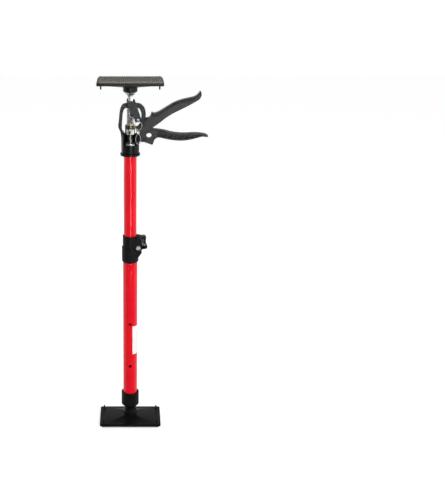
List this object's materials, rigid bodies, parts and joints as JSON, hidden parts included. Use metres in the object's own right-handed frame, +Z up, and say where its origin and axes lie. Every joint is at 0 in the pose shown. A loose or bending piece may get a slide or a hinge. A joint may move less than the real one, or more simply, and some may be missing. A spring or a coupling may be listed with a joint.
{
  "type": "adjustable steel prop",
  "caption": "Telescoping steel support prop with a clamp collar, a trigger-lifted hexagonal rod, a release plate with a wire pull, and tilting pressure plates on ball joints.",
  "frame": {"origin": "middle of the foot's rubber face, on the mast's axis", "axes": "+Z up the mast, +X towards the handles, -Y towards the side with the release plate and the bolt's head"},
  "size_m": [0.2359, 0.084, 0.7975],
  "materials": {
    "black_plastic": "moulded glass-filled nylon, fine satin texture",
    "head_plastic": "moulded glass-filled nylon, satin",
    "trigger_plastic": "moulded glass-filled nylon, satin",
    "knob_plastic": "moulded, semi-gloss",
    "pad_rubber": "moulded rubber, ribbed face",
    "red_paint": "gloss powder coat on steel tube",
    "label_film": "blank white self-adhesive film",
    "zinc_steel": "bright zinc plate",
    "rod_steel": "bright drawn hexagonal bar, zinc plated",
    "black_steel": "blackened stamped steel, semi-gloss",
    "yellow_zinc": "yellow passivated zinc plate",
    "spring_steel": "bright zinc-plated spring wire",
    "brass": "turned, unpolished",
    "dark_steel": "black phosphated steel"
  },
  "bodies": {
    "foot": {"foot_plate": "black_plastic", "foot_rubber": "pad_rubber"},
    "foot_joint": {"foot_ball": "dark_steel", "foot_nut": "zinc_steel"},
    "lower_mast": {"foot_sleeve": "black_plastic", "lower_tube": "red_paint", "blank_label": "label_film", "clamp_collar": "black_plastic", "clamp_bolt": "zinc_steel", "bolt_washer": "zinc_steel", "knob_washer": "zinc_steel"},
    "knob": {"clamp_knob": "knob_plastic", "knob_nut": "brass"},
    "upper_mast": {"upper_tube": "red_paint", "tube_glide": "black_plastic", "head_housing": "head_plastic", "guide_plate": "zinc_steel", "rod_bush": "black_plastic", "pivot_pin": "dark_steel", "drive_spring": "spring_steel"},
    "trigger_lever": {"trigger": "trigger_plastic", "drive_pin": "zinc_steel"},
    "collet": {"drive_collet": "yellow_zinc", "spring_seat": "zinc_steel"},
    "release": {"release_plate": "black_steel"},
    "pull": {"pull_wire": "spring_steel", "wire_ferrule": "zinc_steel"},
    "rod": {"lift_rod": "rod_steel", "rod_stop": "black_plastic"},
    "head_joint": {"head_ball": "zinc_steel"},
    "head_pad": {"head_plate": "black_plastic", "head_rubber": "pad_rubber"}
  },
  "joints": [
    {"name": "foot_tilt", "type": "hinge", "parent": "foot", "child": "foot_joint", "pos_m": [0, 0, 0.0235], "axis": [0, 1, 0], "range_deg": [-45, 45]},
    {"name": "foot_swivel", "type": "hinge", "parent": "foot_joint", "child": "lower_mast", "pos_m": [0, 0, 0.04], "axis": [0, 0, 1], "continuous": true},
    {"name": "knob_turn", "type": "hinge", "parent": "lower_mast", "child": "knob", "pos_m": [0.0178, 0, 0.428], "axis": [0, 1, 0], "continuous": true},
    {"name": "mast_slide", "type": "slide", "parent": "lower_mast", "child": "upper_mast", "axis": [0, 0, 1], "range_m": [-0.175, 0.15]},
    {"name": "trigger_squeeze", "type": "hinge", "parent": "upper_mast", "child": "trigger_lever", "pos_m": [0.03, 0, 0.7], "axis": [0, 1, 0], "range_deg": [0, 26], "stiffness_Nm_per_rad": 1, "springref_deg": -6.88},
    {"name": "collet_lift", "type": "slide", "parent": "upper_mast", "child": "collet", "axis": [0, 0, 1], "range_m": [0, 0.0078], "deforming": ["drive_spring"]},
    {"name": "release_rock", "type": "hinge", "parent": "upper_mast", "child": "release", "pos_m": [0.0086, 0, 0.7491], "axis": [0, 1, 0], "range_deg": [0, 8], "stiffness_Nm_per_rad": 0.3, "springref_deg": -5.73},
    {"name": "pull_swing", "type": "hinge", "parent": "release", "child": "pull", "pos_m": [0.0166, -0.0122, 0.7117], "axis": [0, 1, 0], "range_deg": [-15, 15]},
    {"name": "rod_slide", "type": "slide", "parent": "upper_mast", "child": "rod", "axis": [0, 0, 1], "range_m": [0, 0.19]},
    {"name": "head_swivel", "type": "hinge", "parent": "rod", "child": "head_joint", "pos_m": [0, 0, 0.77], "axis": [0, 0, 1], "continuous": true},
    {"name": "head_tilt", "type": "hinge", "parent": "head_joint", "child": "head_pad", "pos_m": [0, 0, 0.774], "axis": [0, 1, 0], "range_deg": [-45, 45]}
  ],
  "couplings": [
    {"joint": "collet_lift", "follows": "trigger_squeeze", "m_per_rad": 0.01659}
  ]
}
